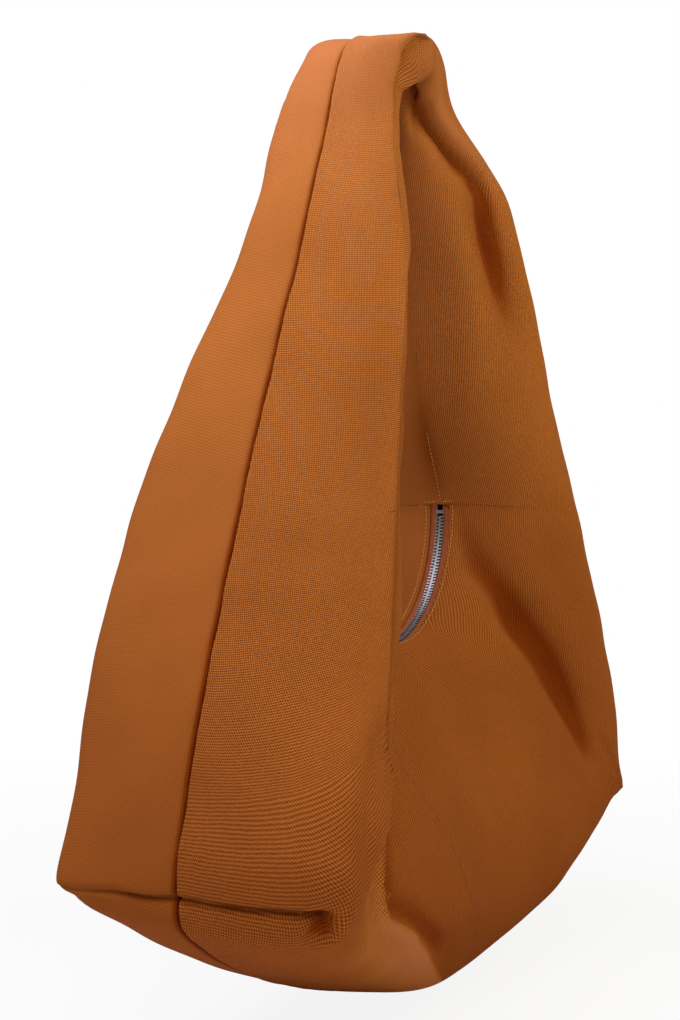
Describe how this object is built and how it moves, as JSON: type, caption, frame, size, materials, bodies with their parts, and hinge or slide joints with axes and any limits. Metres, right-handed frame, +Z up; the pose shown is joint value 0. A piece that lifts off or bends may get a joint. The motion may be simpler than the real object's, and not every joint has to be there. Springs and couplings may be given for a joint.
{
  "type": "trapeze bag",
  "caption": "Slouchy canvas shoulder bag with hollow strap legs around an arm loop, boxed base corners and a curved metal zip along the bottom of the loop.",
  "frame": {"origin": "underside of the strap at its highest point, where the bag hangs", "axes": "+X from the near end to the far end along the bag's length, +Y from the front to the back, +Z up"},
  "size_m": [0.554, 0.19, 0.666],
  "materials": {
    "canvas": "heavy plain-weave cotton canvas, matt, orange-brown",
    "lining": "light cotton twill, matt, dull tan",
    "zip_tape": "woven polyester tape, matt, reddish brown",
    "binding": "cotton binding tape, matt, brown",
    "webbing": "undyed cotton webbing, matt",
    "zip_metal": "nickel-plated, soft shine"
  },
  "bodies": {
    "strap": {"front_strap": "canvas", "back_strap": "canvas", "strap_webbing": "webbing"},
    "bag": {"front_leg_fold": "canvas", "back_leg_fold": "canvas", "front_panel": "canvas", "back_panel": "canvas", "front_lining": "lining", "back_lining": "lining", "zip_facing_front": "lining", "zip_facing_back": "lining", "zip_tape_front": "zip_tape", "zip_tape_back": "zip_tape", "zip_teeth_front": "zip_metal", "zip_teeth_back": "zip_metal", "zip_top_stops": "zip_metal", "zip_bottom_stop": "zip_metal", "side_seam_tape_near": "binding", "side_seam_tape_far": "binding", "bottom_seam_tape": "binding", "box_corner_binding_near": "binding", "box_corner_binding_far": "binding", "inner_pocket": "lining", "pocket_hem": "binding"},
    "slider": {"zip_slider": "zip_metal"},
    "puller": {"zip_puller": "zip_metal"}
  },
  "joints": [
    {"name": "bag_swing", "type": "hinge", "parent": "strap", "child": "bag", "pos_m": [0, 0, -0.22], "axis": [1, 0, 0], "range_deg": [-45, 45], "deforming": ["front_leg_fold", "back_leg_fold"]},
    {"name": "slider_travel", "type": "hinge", "parent": "bag", "child": "slider", "pos_m": [0, 0, -0.3], "axis": [0, -1, 0], "range_deg": [0, 166], "deforming": ["zip_teeth_front", "zip_teeth_back"]},
    {"name": "puller_flip", "type": "hinge", "parent": "slider", "child": "puller", "pos_m": [-0.09259, 0, -0.31301], "axis": [0, -1, 0], "range_deg": [0, 150]}
  ]
}
